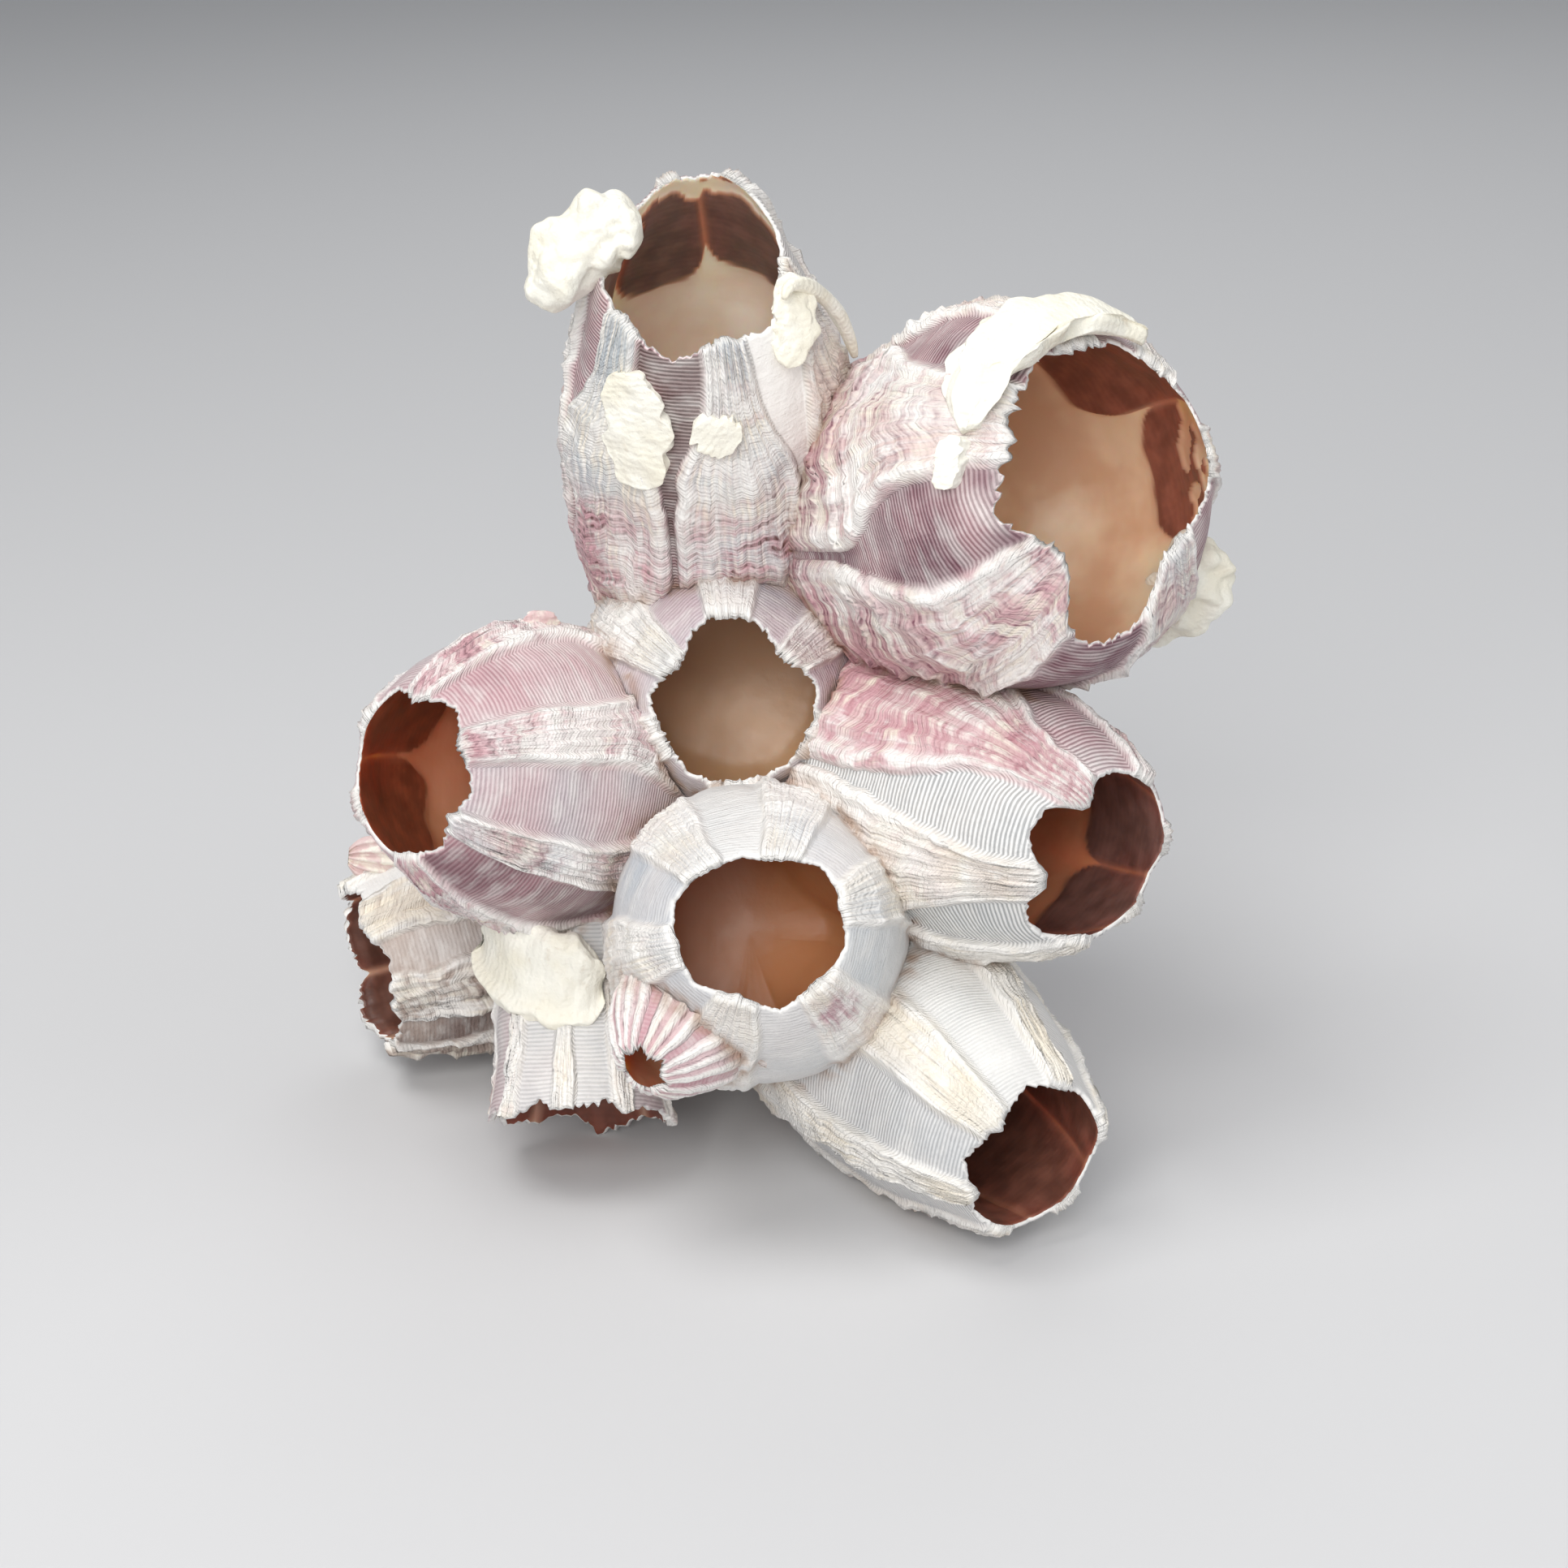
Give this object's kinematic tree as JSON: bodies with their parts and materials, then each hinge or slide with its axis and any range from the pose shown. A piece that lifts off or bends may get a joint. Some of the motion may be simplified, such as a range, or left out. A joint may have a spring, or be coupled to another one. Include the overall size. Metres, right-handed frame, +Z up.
{
  "type": "barnacle cluster",
  "caption": "Cluster of large acorn barnacle shells fused at their bases, open mouths facing outwards, for an aquarium, a shelf or a shell display.",
  "frame": {"origin": "middle of the cluster's bounding box at the level of the surface it rests on", "axes": "+Z up as it stands, +X to the right and -Y towards the side that shows the open mouths"},
  "size_m": [0.1078, 0.0815, 0.1144],
  "materials": {
    "shell_purple": "matt lime shell, chalky white and mauve",
    "shell_white": "matt lime shell, chalky white",
    "base_plates": "rough lime plates",
    "lime_crust": "rough cream lime crust"
  },
  "bodies": {
    "root": {"barnacle_middle": "shell_purple", "barnacle_upper_right": "shell_purple", "barnacle_top": "shell_purple", "barnacle_left": "shell_purple", "barnacle_right": "shell_white", "barnacle_lower_right": "shell_white", "barnacle_lower_left": "shell_white", "barnacle_far_left": "shell_white", "barnacle_front": "shell_white", "barnacle_small": "shell_white", "base_plates": "base_plates", "crust_on_top_shell": "lime_crust", "flake_on_top_shell": "lime_crust", "crust_on_rim": "lime_crust", "crust_behind_rim": "lime_crust", "crust_on_plate": "lime_crust", "crust_under_left_shell": "lime_crust", "plate_fragment": "lime_crust"}
  },
  "joints": []
}
